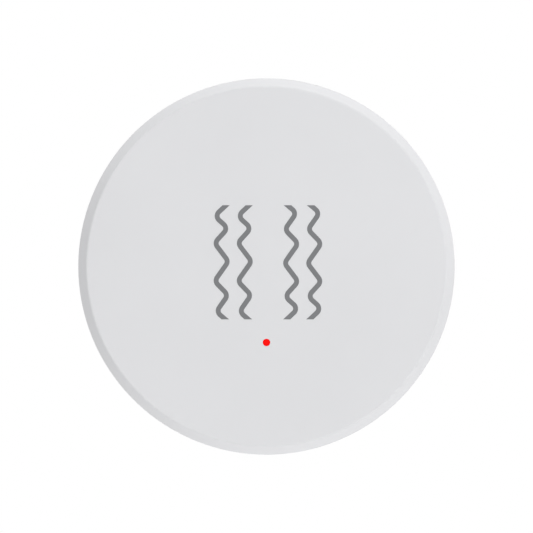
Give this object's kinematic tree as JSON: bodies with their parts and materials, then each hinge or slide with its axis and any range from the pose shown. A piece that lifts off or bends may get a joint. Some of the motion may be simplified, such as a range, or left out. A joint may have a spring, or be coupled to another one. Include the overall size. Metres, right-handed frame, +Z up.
{
  "type": "vibration sensor tag",
  "caption": "Round stick-on vibration sensor tag: chamfered white shell, lit indicator, coin-turned battery door, pairing button and foam pads on the back.",
  "frame": {"origin": "centre of the adhesive face, in the plane that meets the wall", "axes": "+Z up as the tag hangs, +X to the right seen from the front, +Y into the wall, front faces -Y"},
  "size_m": [0.042, 0.0113, 0.042],
  "materials": {
    "shell_white": "fine moulded texture, satin",
    "door_white": "fine moulded texture, satin",
    "button_grey": "smooth elastomer",
    "indicator_red": "clear light pipe lit red",
    "seal_rubber": "smooth, lightly greased",
    "screw_steel": "zinc plated",
    "foam_tape": "closed-cell foam with adhesive film",
    "board_green": "solder mask on glass laminate",
    "chip_black": "moulded package",
    "antenna_ceramic": "fired ceramic with plated ends",
    "crystal_can": "plated metal lid",
    "inductor_grey": "ferrite",
    "resistor_black": "glazed top",
    "capacitor_tan": "fired ceramic",
    "buffer_yellow": "moulded package",
    "lamp_white": "moulded lamp base",
    "lamp_lens": "clear resin",
    "switch_black": "moulded base",
    "switch_steel": "stamped plate",
    "plunger_cream": "moulded plunger",
    "spring_steel": "polished spring sheet",
    "cell_steel": "nickel-plated steel",
    "gasket_nylon": "moulded ring",
    "cell_core_dark": "pressed stack",
    "contact_nickel": "nickel-plated spring sheet"
  },
  "bodies": {
    "housing": {"front_cover": "shell_white", "rear_housing": "shell_white", "light_pipe": "indicator_red", "housing_seal": "seal_rubber", "housing_screws": "screw_steel", "adhesive_pad_left": "foam_tape", "adhesive_pad_right": "foam_tape", "circuit_board": "board_green", "radio_chip": "chip_black", "accelerometer": "chip_black", "chip_antenna": "antenna_ceramic", "main_crystal": "crystal_can", "clock_crystal": "crystal_can", "inductors": "inductor_grey", "resistors": "resistor_black", "capacitors": "capacitor_tan", "buffer_capacitor": "buffer_yellow", "led_base": "lamp_white", "led_lens": "lamp_lens", "switch_base": "switch_black", "switch_cover": "switch_steel", "snap_dome": "spring_steel", "cell_can": "cell_steel", "cell_cap": "cell_steel", "cell_gasket": "gasket_nylon", "cell_core": "cell_core_dark", "positive_contact": "contact_nickel", "negative_contact": "contact_nickel"},
    "door": {"battery_door": "door_white", "door_seal": "seal_rubber"},
    "button": {"pairing_button": "button_grey", "button_seal": "seal_rubber", "switch_plunger": "plunger_cream"}
  },
  "joints": [
    {"name": "door_turn", "type": "hinge", "parent": "housing", "child": "door", "pos_m": [0, 0, 0], "axis": [0, 1, 0], "range_deg": [0, 40]},
    {"name": "pairing_press", "type": "slide", "parent": "housing", "child": "button", "axis": [0, -1, 0], "range_m": [0, 0.00025], "stiffness_N_per_m": 6000}
  ]
}
